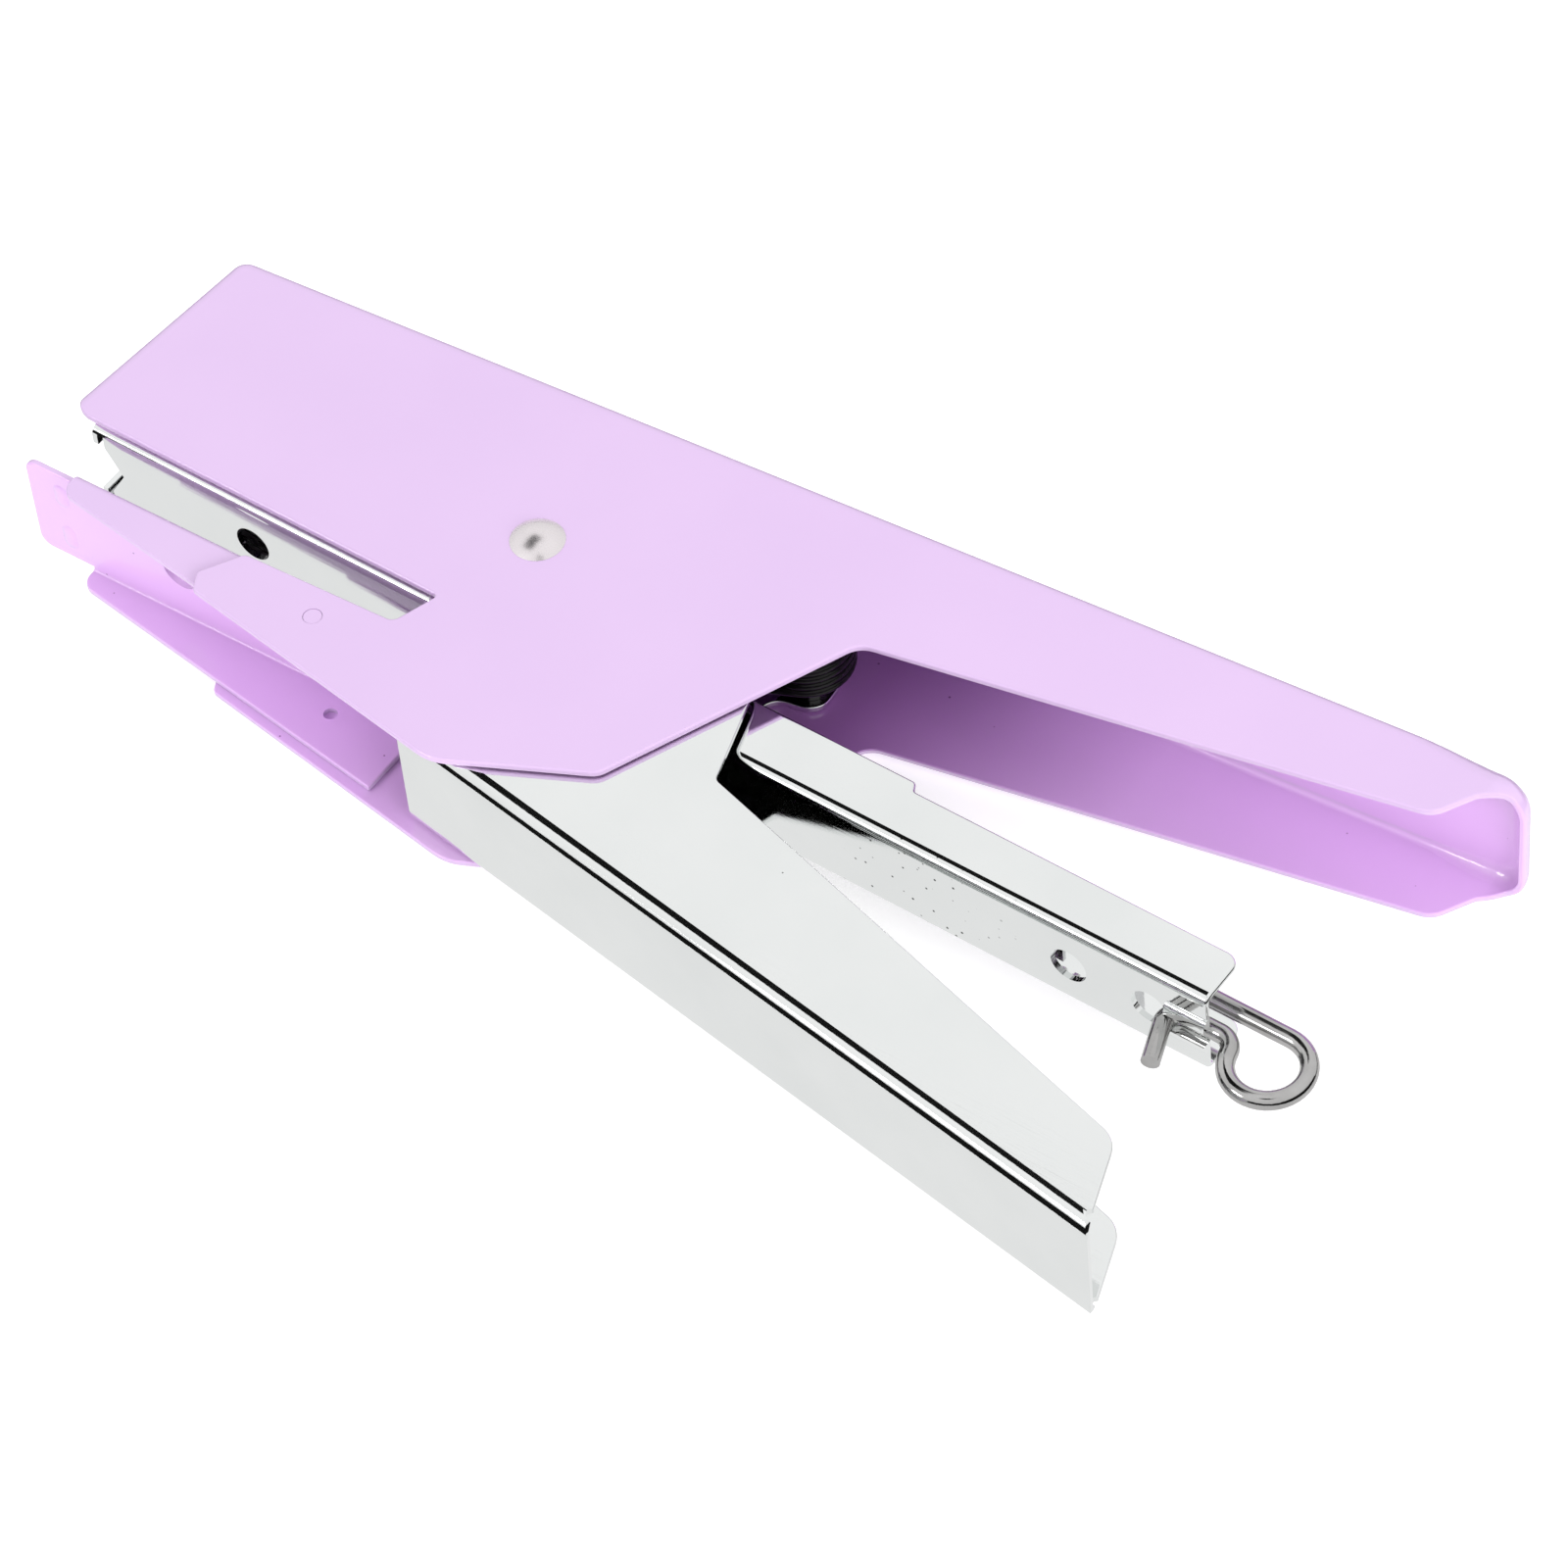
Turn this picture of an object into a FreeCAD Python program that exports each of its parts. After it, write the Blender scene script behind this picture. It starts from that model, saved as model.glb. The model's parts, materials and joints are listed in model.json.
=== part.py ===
import FreeCAD, Part
import math
import os

# Plier stapler, lying on its side. Millimetres.
# +X runs from the nose to the end of the handles, +Y towards the spine of the upper handle,
# +Z is the axis of the main rivet. The origin is the centre of the rivet's flat tail.

# Driving dimensions across the width
MIDDLE = 10.0              # height of the object's mid-plane above the rivet's tail
BODY_HALF = 9.0            # body shell, middle to outer face
ARM_HALF = 8.15            # anvil arm, nested inside the body shell
LEVER_HALF = 8.0           # lower handle
CHANNEL_HALF = 6.0         # magazine channel
CORE_HALF = 4.6            # staple core
SHEET = 0.8                # body, arm and lower handle sheet
CHANNEL_SHEET = 0.7
CORE_SHEET = 0.6
FAR_BELOW = -70.0          # working blanks and cuts reach down to here
FAR_ABOVE = 45.0
BODY_EDGE_R = 0.3          # rounding of cut edges, outer face and inner face
BODY_INNER_EDGE_R = 0.2
SHEET_EDGE_R = 0.2
CHANNEL_EDGE_R = 0.4
CHANNEL_INNER_EDGE_R = 0.15
BEND_CLEAR = 1.5           # cut edges are rounded up to this far from a folded web

# Main rivet and the pieces on it
RIVET_R = 2.0
RIVET_HOLE_R = 2.05
RIVET_HEAD_R = 3.1
RIVET_HEAD_HEIGHT = 1.0
SPACER_R = 3.2
WASHER_R = 4.0
RUNNING_GAP = 0.05
CLOSE = 0.1                # edges are picked out by where they lie, to within this

# Body shell
SPINE_SLOPE = 0.082
SPINE_Y = 20.85            # height of the spine line above the rivet
BODY_BEND = 1.5
FRONT_CORNER = 2.0
NOSE_BOTTOM = -12.2
NOSE_FRONT = -54.5
FRONT_LEAN = 0.0755        # the head's front leans forward towards its bottom
FRONT_WALL_END = -4.0      # the head's front wall stops here, above the nose
HANDLE_END = 109.2
END_CORNER = 4.2           # the end wall turns into the sides with this radius
END_BEND = 2.7             # the bend under the spine grows to this at the end
SOFT_END_X = 95.0          # and starts to grow here
END_LIP_Y = 26.5
CLINCH_X = -14.0
CLINCH_Y = -21.9
CLINCH_R = 1.1

# Anvil arm
ARM_FRONT = -49.7
ARM_REAR = -4.0
ARM_TOP = -18.85
ARM_TOP_REAR = -17.7
PLATE_FRONT = -57.1
PLATE_HALF = 6.9
PLATE_LAP = 1.0            # the plate starts this far inside the arm's web
PLATE_CORNER_R = 1.6
PLATE_EDGE_R = 0.25
ARM_HOLE_X = -36.2
ARM_HOLE_R = 2.35
POCKET_X = -52.4
POCKET_INNER = 0.6
POCKET_OUTER = 6.2
POCKET_R = 2.0
POCKET_DEPTH = 0.25        # how far the pocket bulges below the plate

# Lower handle
WEB_SLOPE = -0.1442
WEB_Y = -28.56             # outer face of the web below the rivet
LEVER_BEND = 1.85
LEVER_FRONT = 2.6
LEVER_REAR = 101.3
LEVER_END_R = 1.8
RELIEF_X = 100.7
RELIEF_R = 0.6
POST_X = 28.6
POST_Y = 9.55
MANDREL_R = 3.7            # inside the spring's coil
MANDREL_HALF = 3.05
POST_R = 1.9               # between the coil and the lower handle's walls
POST_END_R = 1.5
COIL_GAP = 0.45
SPRING_WIRE = 1.2
SPRING_COILS = 5

# Driver blade and its pin
PIN_X = -51.6
PIN_Y = 4.0
PIN_R = 1.1
PIN_HOLE_R = 1.15
EYE_R = 1.85
EYE_HOLE_R = 1.35
EYE_HALF = 4.8
BLADE_HALF = 5.15
BLADE_THICK = 0.5
BLADE_BOTTOM = -5.1

# Magazine channel
CHANNEL_BOTTOM = -11.6
CHANNEL_BEND = 1.2
CHANNEL_REAR = 94.6
CHANNEL_CORNER_R = 1.7     # upper rear corners of its walls
CHANNEL_TOP = -3.7
CHANNEL_TOP_REAR = -4.83
STEP_X = 52.7
LIP_FRONT = -54.3
LIP_INNER = 3.7
BLADE_SLOT_REAR = -52.75
NOTCH_APEX = -50.6
HOLE_R = 2.25
FRONT_HOLE_X = -32.0
REAR_HOLE_X = 77.3
PEG_HOLE_X = 87.4
SLIT_HALF = 1.2
RIB_FRONT = 89.6
RIB_HALF = 2.6
RIB_DEPTH = 0.75

# Staple core, rod, spring and pusher
CORE_FRONT = -52.5
CORE_REAR = 72.0
CORE_TOP = -4.9
ROD_Y = -7.05
WIRE_R = 1.05
LOOP_X = 101.9
LOOP_R = 4.35
LEG_Y = -10.4
S_BEND_R = 2.2
PEG_BEND_R = 1.6
PEG_BEND_X = 91.2
PEG_TURN = 110.0
PEG_LENGTH = 5.2
ROD_FRONT = -51.0
PUSHER_TIP = -52.3
PUSHER_FRONT = -49.2
PUSHER_REAR = -41.0
PUSHER_HALF = 5.2
STOP_FRONT = 79.0
STOP_REAR = 82.0


ALONG_X = FreeCAD.Vector(1, 0, 0)
ALONG_Y = FreeCAD.Vector(0, 1, 0)


def point(x, y, z=MIDDLE):
    return FreeCAD.Vector(x, y, z)


def rounded_outline(corners, z):
    """Closed wire at height z through corners (x, y, radius), each corner an arc."""
    count = len(corners)
    starts = []
    mids = []
    ends = []
    for i in range(count):
        x, y, radius = corners[i]
        here = point(x, y, z)
        before = point(corners[i - 1][0], corners[i - 1][1], z) - here
        after = point(corners[(i + 1) % count][0], corners[(i + 1) % count][1], z) - here
        before.normalize()
        after.normalize()
        if radius == 0:
            starts.append(here)
            mids.append(None)
            ends.append(here)
            continue
        half_angle = before.getAngle(after) / 2
        reach = radius / math.tan(half_angle)
        centre_line = before + after
        centre_line.normalize()
        starts.append(here + before * reach)
        mids.append(here + centre_line * (radius / math.sin(half_angle) - radius))
        ends.append(here + after * reach)
    edges = []
    for i in range(count):
        if mids[i] is not None:
            edges.append(Part.Arc(starts[i], mids[i], ends[i]).toShape())
        following = starts[(i + 1) % count]
        if ends[i].distanceToPoint(following) > 1e-6:
            edges.append(Part.LineSegment(ends[i], following).toShape())
    return Part.Wire(edges)


def plate(corners, half_width):
    """Solid with the given side outline, centred on the mid-plane."""
    face = Part.Face(rounded_outline(corners, MIDDLE - half_width))
    return face.extrude(FreeCAD.Vector(0, 0, 2 * half_width))


def box(x_low, x_high, y_low, y_high, z_low, z_high):
    """Block between two corners, with z counted from the mid-plane."""
    corner = point(x_low, y_low, MIDDLE + z_low)
    return Part.makeBox(x_high - x_low, y_high - y_low, z_high - z_low, corner)


def drum(x, y, radius, z_low, z_high):
    """Cylinder along Z, with z counted from the mid-plane."""
    return Part.makeCylinder(radius, z_high - z_low, point(x, y, MIDDLE + z_low))


def bar(x_low, x_high, y, radius):
    """Cylinder along X on the mid-plane."""
    return Part.makeCylinder(radius, x_high - x_low, point(x_low, y), ALONG_X)


def round_edges(solid, half_width, radius, is_wanted):
    """Fillet the outline edges of the two faces at half_width where is_wanted(x, y) is true."""
    edges = []
    for edge in solid.Edges:
        box_of_edge = edge.BoundBox
        middle = edge.valueAt((edge.FirstParameter + edge.LastParameter) / 2)
        on_side = abs(abs(middle.z - MIDDLE) - half_width) < 1e-6
        if on_side and box_of_edge.ZLength < 1e-6 and is_wanted(middle.x, middle.y):
            edges.append(edge)
    return solid.makeFillet(radius, edges)


def spine_y(x):
    return SPINE_Y + SPINE_SLOPE * x


def front_x(y):
    return NOSE_FRONT + FRONT_LEAN * (y - spine_y(NOSE_FRONT))


def web_y(x):
    return WEB_Y + WEB_SLOPE * x


def body_profile():
    """Side view below the spine: head, paper slot, jaw cheek, belly, crotch and handle lip."""
    return [
        (front_x(FAR_ABOVE), FAR_ABOVE, 0),
        (HANDLE_END + 5, FAR_ABOVE, 0),
        (HANDLE_END + 5, END_LIP_Y, 0),
        (107.2, END_LIP_Y, 2.0),
        (104.6, 24.4, 1.8),
        (102.0, 19.8, 3.0),
        (38.2, 6.65, 3.0),
        (25.3, -22.85, 2.5),
        (8.85, -31.0, 6.0),
        (-27.6, -25.86, 1.0),
        (-28.8, -23.6, 0.8),
        (-25.9, -18.75, 1.2),
        (-6.3, -17.65, 1.2),
        (-4.4, NOSE_BOTTOM, 0.4),
        (front_x(NOSE_BOTTOM), NOSE_BOTTOM, 3.0),
    ]


def body_blank(inset):
    """Solid under the spine, between the head's front and the handle's end, with rounded edges."""
    front = NOSE_FRONT + inset
    end = HANDLE_END - inset
    half = BODY_HALF - inset
    corners = [
        (front_x(FAR_BELOW) + inset, FAR_BELOW, 0),
        (front, spine_y(front) - inset, FRONT_CORNER - inset),
        (SOFT_END_X, spine_y(SOFT_END_X) - inset, 0),
        (end, spine_y(end) - inset, 0),
        (end, FAR_BELOW, 0),
    ]
    blank = Part.Face(rounded_outline(corners, MIDDLE)).extrude(FreeCAD.Vector(0, 0, half))
    side_z = MIDDLE + half - CLOSE
    upright = [e for e in blank.Edges if e.BoundBox.XMin > end - CLOSE and e.BoundBox.ZMin > side_z]
    blank = blank.makeFillet(END_CORNER - inset, upright)
    growing = []
    for edge in blank.Edges:
        reach = edge.BoundBox
        if reach.ZMin > side_z and abs(reach.XMin - SOFT_END_X) < CLOSE and reach.YMin > 0:
            growing.append(edge)
    blank = blank.makeFillet(BODY_BEND - inset, END_BEND - inset, growing)
    other_half = blank.mirror(point(0, 0), FreeCAD.Vector(0, 0, 1))
    return blank.fuse(other_half).removeSplitter()


def is_body_cut(x, y):
    """True on the free cut edges of the body's sides, away from its folded spine, front and end."""
    under_spine = y < spine_y(x) - 2 * BEND_CLEAR
    in_front_fold = x < front_x(0) + 1 and y > NOSE_BOTTOM + 1
    return under_spine and not in_front_fold and x < HANDLE_END - 2


def body_shell():
    """Upper handle, head and jaw cheeks pressed from one sheet."""
    shell = body_blank(0).cut(body_blank(SHEET))
    shell = shell.common(plate(body_profile(), BODY_HALF + 1)).removeSplitter()
    shell = round_edges(shell, BODY_HALF, BODY_EDGE_R, is_body_cut)
    shell = round_edges(shell, BODY_HALF - SHEET, BODY_INNER_EDGE_R, is_body_cut)
    shell = shell.cut(box(-60, -50, FAR_BELOW, FRONT_WALL_END, SHEET - BODY_HALF, BODY_HALF - SHEET))
    shell = shell.cut(drum(0, 0, RIVET_HOLE_R, -BODY_HALF - 1, BODY_HALF + 1))
    return shell.cut(drum(CLINCH_X, CLINCH_Y, CLINCH_R, -BODY_HALF - 1, BODY_HALF + 1))


def arm_top_y(x):
    return ARM_TOP + (ARM_TOP_REAR - ARM_TOP) * (x - ARM_FRONT) / (ARM_REAR - ARM_FRONT)


def anvil_plate():
    """The arm's web carried on past its walls, with two pockets that turn the staple's legs."""
    rear = ARM_FRONT + PLATE_LAP
    outline = [
        (PLATE_FRONT, arm_top_y(PLATE_FRONT), 0),
        (rear, arm_top_y(rear), 0),
        (rear, arm_top_y(rear) - SHEET, 0),
        (PLATE_FRONT, arm_top_y(PLATE_FRONT) - SHEET, 0),
    ]
    blank = plate(outline, PLATE_HALF)
    edge_x = PLATE_FRONT + CLOSE
    upright = [e for e in blank.Edges if e.BoundBox.XMax < edge_x and e.BoundBox.ZLength < CLOSE]
    blank = blank.makeFillet(PLATE_CORNER_R, upright)
    front = [e for e in blank.Edges if e.BoundBox.XMax < edge_x and e.BoundBox.ZLength > CLOSE]
    blank = blank.makeFillet(PLATE_EDGE_R, front)
    top = arm_top_y(POCKET_X)
    for side in (-1, 1):
        bump = pocket(side, POCKET_R, top - SHEET - POCKET_DEPTH, top - SHEET / 2)
        hollow = pocket(side, POCKET_R - SHEET / 2, top - POCKET_DEPTH, top + SHEET)
        blank = blank.fuse(bump).cut(hollow)
    return blank


def pocket(side, radius, bottom, top):
    """Bar along Z with ball ends, cut off at the top, for pressing a clinch pocket."""
    y = bottom + radius
    low = min(side * POCKET_INNER, side * POCKET_OUTER) + radius
    high = max(side * POCKET_INNER, side * POCKET_OUTER) - radius
    shape = Part.makeCylinder(radius, high - low, point(POCKET_X, y, MIDDLE + low))
    for end in (low, high):
        shape = shape.fuse(Part.makeSphere(radius, point(POCKET_X, y, MIDDLE + end)))
    return shape.common(box(POCKET_X - radius, POCKET_X + radius, bottom, top, -PLATE_HALF, PLATE_HALF))


def arm_blank(inset, bend):
    """Solid under the arm's web with rounded upper edges."""
    half = ARM_HALF - inset
    front = ARM_FRONT - 5
    rear = ARM_REAR + 5
    corners = [
        (front, arm_top_y(front) - inset, 0),
        (rear, arm_top_y(rear) - inset, 0),
        (rear, FAR_BELOW, 0),
        (front, FAR_BELOW, 0),
    ]
    return round_edges(plate(corners, half), half, bend, lambda x, y: abs(y + inset - arm_top_y(x)) < 0.1)


def anvil_arm():
    """Lower jaw: an inverted channel inside the body's cheeks with the anvil plate at its front."""
    profile = [
        (ARM_FRONT, 0, 0),
        (ARM_REAR, 0, 0),
        (ARM_REAR, -27.9, 0),
        (ARM_FRONT, -22.0, 2.0),
    ]
    arm = arm_blank(0, 1.1).cut(arm_blank(SHEET, 0.3))
    arm = arm.common(plate(profile, BODY_HALF)).removeSplitter()
    for half in (ARM_HALF, ARM_HALF - SHEET):
        arm = round_edges(arm, half, SHEET_EDGE_R, lambda x, y: y < arm_top_y(x) - BEND_CLEAR)
    arm = arm.fuse(anvil_plate()).removeSplitter()
    arm = arm.cut(Part.makeCylinder(ARM_HOLE_R, 4 * SHEET, point(ARM_HOLE_X, ARM_TOP - 2 * SHEET), ALONG_Y))
    for side in (-1, 1):
        inner = side * (ARM_HALF - 0.3)
        outer = side * (BODY_HALF - 0.05)
        stud = drum(CLINCH_X, CLINCH_Y, CLINCH_R - RUNNING_GAP, min(inner, outer), max(inner, outer))
        dent_inner = side * (ARM_HALF - SHEET - 0.1)
        dent_outer = side * (ARM_HALF - 0.1)
        dent = drum(CLINCH_X, CLINCH_Y, 0.8, min(dent_inner, dent_outer), max(dent_inner, dent_outer))
        arm = arm.fuse(stud).cut(dent)
    return arm.removeSplitter()


def pivot_rivet():
    """Main rivet: domed head above, flat tail below."""
    shaft = Part.makeCylinder(RIVET_R, 2 * MIDDLE - 1, point(0, 0, 0.5))
    tail = Part.makeCylinder(RIVET_HEAD_R, RIVET_HEAD_HEIGHT - 0.02, point(0, 0, 0))
    dome_r = (RIVET_HEAD_R ** 2 + RIVET_HEAD_HEIGHT ** 2) / (2 * RIVET_HEAD_HEIGHT)
    seat = MIDDLE + BODY_HALF + 0.02
    ball = Part.makeSphere(dome_r, point(0, 0, seat + RIVET_HEAD_HEIGHT - dome_r))
    cap = ball.common(Part.makeBox(20, 20, 5, point(-10, -10, seat)))
    return shaft.fuse(tail).fuse(cap).removeSplitter()


def ring(outer_r, inner_r, z_low, z_high):
    """Ring on the main rivet, with z counted from the mid-plane."""
    return drum(0, 0, outer_r, z_low, z_high).cut(drum(0, 0, inner_r, z_low - 1, z_high + 1))


def pivot_spacer():
    """Tube that keeps the two ears of the magazine apart."""
    reach = CHANNEL_HALF - CHANNEL_SHEET - RUNNING_GAP
    return ring(SPACER_R, RIVET_HOLE_R, -reach, reach)


def pivot_washers():
    """Two washers between the magazine's ears and the lower handle's walls."""
    low = CHANNEL_HALF + RUNNING_GAP
    high = LEVER_HALF - SHEET - RUNNING_GAP
    upper = ring(WASHER_R, RIVET_HOLE_R, low, high)
    lower = ring(WASHER_R, RIVET_HOLE_R, -high, -low)
    return Part.makeCompound([upper, lower])


def lever_blank(inset, bend):
    """Solid above the web's plane with rounded lower edges."""
    half = LEVER_HALF - inset
    front = -70
    rear = 115
    corners = [
        (front, web_y(front) + inset, 0),
        (rear, web_y(rear) + inset, 0),
        (rear, FAR_ABOVE, 0),
        (front, FAR_ABOVE, 0),
    ]
    return round_edges(plate(corners, half), half, bend, lambda x, y: abs(y - inset - web_y(x)) < 0.1)


def is_lever_cut(x, y):
    """True on the free cut edges of the lower handle's walls, away from its web and end relief."""
    return y > web_y(x) + LEVER_BEND + RELIEF_R


def lever_end_cuts():
    """Relief notches where the walls meet the web, and the web's two rounded end corners."""
    relief_y = web_y(RELIEF_X) + LEVER_BEND
    cuts = drum(RELIEF_X, relief_y, RELIEF_R, -BODY_HALF, BODY_HALF)
    cuts = cuts.cut(drum(RELIEF_X, relief_y, RELIEF_R, LEVER_BEND - LEVER_HALF, LEVER_HALF - LEVER_BEND))
    corner_x = LEVER_REAR - LEVER_END_R
    corner_z = LEVER_HALF - LEVER_END_R
    for side in (-1, 1):
        low = min(side * corner_z, side * BODY_HALF)
        high = max(side * corner_z, side * BODY_HALF)
        block = box(corner_x, LEVER_REAR + 5, FAR_BELOW, relief_y, low, high)
        round_end = Part.makeCylinder(
            LEVER_END_R, relief_y - FAR_BELOW, point(corner_x, FAR_BELOW, MIDDLE + side * corner_z), ALONG_Y)
        cuts = cuts.fuse(block.cut(round_end))
    return cuts


def lower_handle():
    """Bright channel that is squeezed, with two arms that reach forward to the driver."""
    tip_top = PIN_Y + 2.0
    tip_bottom = PIN_Y - 2.1
    tip_front = PIN_X - 1.95
    profile = [
        (LEVER_FRONT, FAR_BELOW, 0),
        (LEVER_REAR + 9.6, FAR_BELOW, 0),
        (97.5, -32.15, 3.5),
        (35.7, -16.1, 1.0),
        (31.9, -4.0, 3.0),
        (23.3, 5.5, 2.5),
        (31.4, 7.2, 2.4),
        (31.0, 12.7, 2.4),
        (25.8, 13.2, 2.4),
        (8.0, 8.4, 6.0),
        (-6.0, 8.6, 8.0),
        (tip_front, tip_top, 1.95),
        (tip_front, tip_bottom, 1.95),
        (-8.0, -8.5, 6.0),
        (-2.3, -17.5, 8.0),
        (LEVER_FRONT, web_y(LEVER_FRONT), 0),
    ]
    handle = lever_blank(0, LEVER_BEND).cut(lever_blank(SHEET, LEVER_BEND - SHEET))
    handle = handle.common(plate(profile, BODY_HALF)).cut(lever_end_cuts()).removeSplitter()
    for half in (LEVER_HALF, LEVER_HALF - SHEET):
        handle = round_edges(handle, half, SHEET_EDGE_R, is_lever_cut)
    handle = handle.cut(drum(0, 0, RIVET_HOLE_R, -BODY_HALF, BODY_HALF))
    handle = handle.cut(drum(PIN_X, PIN_Y, PIN_HOLE_R, -BODY_HALF, BODY_HALF))
    return handle.cut(drum(POST_X, POST_Y, POST_END_R + RUNNING_GAP, -BODY_HALF, BODY_HALF))


def spring_post():
    """Shouldered post between the lower handle's walls with a mandrel for the return spring."""
    shoulder = LEVER_HALF - SHEET - RUNNING_GAP
    end = LEVER_HALF + 0.05
    pin = drum(POST_X, POST_Y, POST_END_R, -end, end)
    shaft = drum(POST_X, POST_Y, POST_R, -shoulder, shoulder)
    mandrel = drum(POST_X, POST_Y, MANDREL_R, -MANDREL_HALF, MANDREL_HALF)
    return mandrel.fuse(shaft).fuse(pin)


def return_spring():
    """Torsion spring that opens the handles: coil sleeve with one leg up and one leg down."""
    half = SPRING_WIRE * SPRING_COILS / 2
    inner = MANDREL_R + COIL_GAP
    outer = inner + SPRING_WIRE
    coil = drum(POST_X, POST_Y, outer, -half, half).cut(drum(POST_X, POST_Y, inner, -half - 1, half + 1))
    mid_r = inner + SPRING_WIRE / 2
    for z, start_angle, end_x, end_y in (
        (half - SPRING_WIRE / 2, 105.0, 13.5, spine_y(13.5) - SHEET - 0.9),
        (SPRING_WIRE / 2 - half, 255.0, 9.5, CORE_TOP + 0.9),
    ):
        angle = math.radians(start_angle)
        start = point(POST_X + mid_r * math.cos(angle), POST_Y + mid_r * math.sin(angle), MIDDLE + z)
        run = point(end_x, end_y, MIDDLE + z) - start
        leg = Part.makeCylinder(SPRING_WIRE / 2 - 0.02, run.Length, start, run)
        coil = coil.fuse(leg)
    return coil.removeSplitter()


def blade_pin():
    """Cross pin in the tips of the lower handle's arms."""
    end = LEVER_HALF + 0.05
    collar_low = LEVER_HALF - SHEET - 1.2
    collar_high = LEVER_HALF - SHEET - RUNNING_GAP
    pin = drum(PIN_X, PIN_Y, PIN_R, -end, end)
    pin = pin.fuse(drum(PIN_X, PIN_Y, PIN_R + 0.5, collar_low, collar_high))
    return pin.fuse(drum(PIN_X, PIN_Y, PIN_R + 0.5, -collar_high, -collar_low))


def driver_blade():
    """Flat blade whose top is rolled into an eye around the blade pin."""
    front = PIN_X - EYE_R
    flat = box(front, front + BLADE_THICK, BLADE_BOTTOM, PIN_Y, -BLADE_HALF, BLADE_HALF)
    eye = drum(PIN_X, PIN_Y, EYE_R, -EYE_HALF, EYE_HALF)
    hole = drum(PIN_X, PIN_Y, EYE_HOLE_R, -BLADE_HALF - 1, BLADE_HALF + 1)
    return flat.fuse(eye).cut(hole).removeSplitter()


def channel_blank(inset, bend, front, rear):
    """Solid above the magazine's web with rounded lower edges."""
    half = CHANNEL_HALF - inset
    blank = box(front, rear, CHANNEL_BOTTOM + inset, 20, -half, half)
    low_edges = [e for e in blank.Edges if e.BoundBox.XLength > 50 and e.BoundBox.YMax < 0]
    return blank.makeFillet(bend, low_edges)


def channel_walls():
    """Upright channel with ears at the rivet and a lower top edge behind the step."""
    profile = [
        (LIP_FRONT - 1, -20, 0),
        (CHANNEL_REAR + 1, -20, 0),
        (CHANNEL_REAR + 1, CHANNEL_TOP_REAR, 0),
        (STEP_X + 0.6, CHANNEL_TOP_REAR, 0.5),
        (STEP_X, CHANNEL_TOP, 0.6),
        (8.5, CHANNEL_TOP, 2.0),
        (5.0, 4.2, 3.6),
        (-5.0, 4.2, 3.6),
        (-8.5, CHANNEL_TOP, 2.0),
        (-44.5, CHANNEL_TOP, 1.0),
        (-46.0, -4.6, 1.0),
        (LIP_FRONT - 1, -4.6, 0),
    ]
    outer = channel_blank(0, CHANNEL_BEND, LIP_FRONT, CHANNEL_REAR)
    front = LIP_FRONT + CHANNEL_SHEET
    cavity = channel_blank(CHANNEL_SHEET, CHANNEL_BEND - CHANNEL_SHEET, front, CHANNEL_REAR + 5)
    walls = outer.cut(cavity).common(plate(profile, BODY_HALF))
    centre_x = CHANNEL_REAR - CHANNEL_CORNER_R
    centre_y = CHANNEL_TOP_REAR - CHANNEL_CORNER_R
    block = box(centre_x, CHANNEL_REAR + 1, centre_y, 0, -BODY_HALF, BODY_HALF)
    block = block.cut(drum(centre_x, centre_y, CHANNEL_CORNER_R, -BODY_HALF, BODY_HALF))
    return walls.cut(block)


def nose_opening():
    """Cut that leaves two front lips, the blade slot behind them and a notch in the web."""
    inner_half = CHANNEL_HALF - CHANNEL_SHEET
    slot_front = LIP_FRONT + CHANNEL_SHEET
    gap = box(LIP_FRONT - 1, slot_front + 0.01, FAR_BELOW, 10, -LIP_INNER, LIP_INNER)
    slot = box(slot_front, BLADE_SLOT_REAR, FAR_BELOW, 10, -inner_half, inner_half)
    low = CHANNEL_BOTTOM - 1
    notch_points = [
        point(BLADE_SLOT_REAR - 0.1, low, MIDDLE - LIP_INNER),
        point(NOTCH_APEX, low, MIDDLE),
        point(BLADE_SLOT_REAR - 0.1, low, MIDDLE + LIP_INNER),
    ]
    notch_wire = Part.makePolygon(notch_points + notch_points[:1])
    notch = Part.Face(notch_wire).extrude(FreeCAD.Vector(0, 3, 0))
    return gap.fuse(slot).fuse(notch)


def rib_lips():
    """Two pressed lips beside the slit that guide the wire's leg."""
    outer = Part.makeCylinder(RIB_HALF, CHANNEL_REAR - RIB_FRONT, point(RIB_FRONT, 0), ALONG_X)
    flatten = FreeCAD.Matrix()
    flatten.scale(1.0, RIB_DEPTH / RIB_HALF, 1.0)
    lips = outer.transformGeometry(flatten)
    lips.translate(FreeCAD.Vector(0, CHANNEL_BOTTOM, 0))
    below = box(RIB_FRONT - 1, CHANNEL_REAR + 1, CHANNEL_BOTTOM - 2, CHANNEL_BOTTOM + 0.1, -3, 3)
    return lips.common(below)


def is_channel_cut(x, y):
    """True on the free top and rear edges of the magazine's walls, away from its web and nose."""
    return y > CHANNEL_BOTTOM + BEND_CLEAR and x > LIP_FRONT + 2


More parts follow.
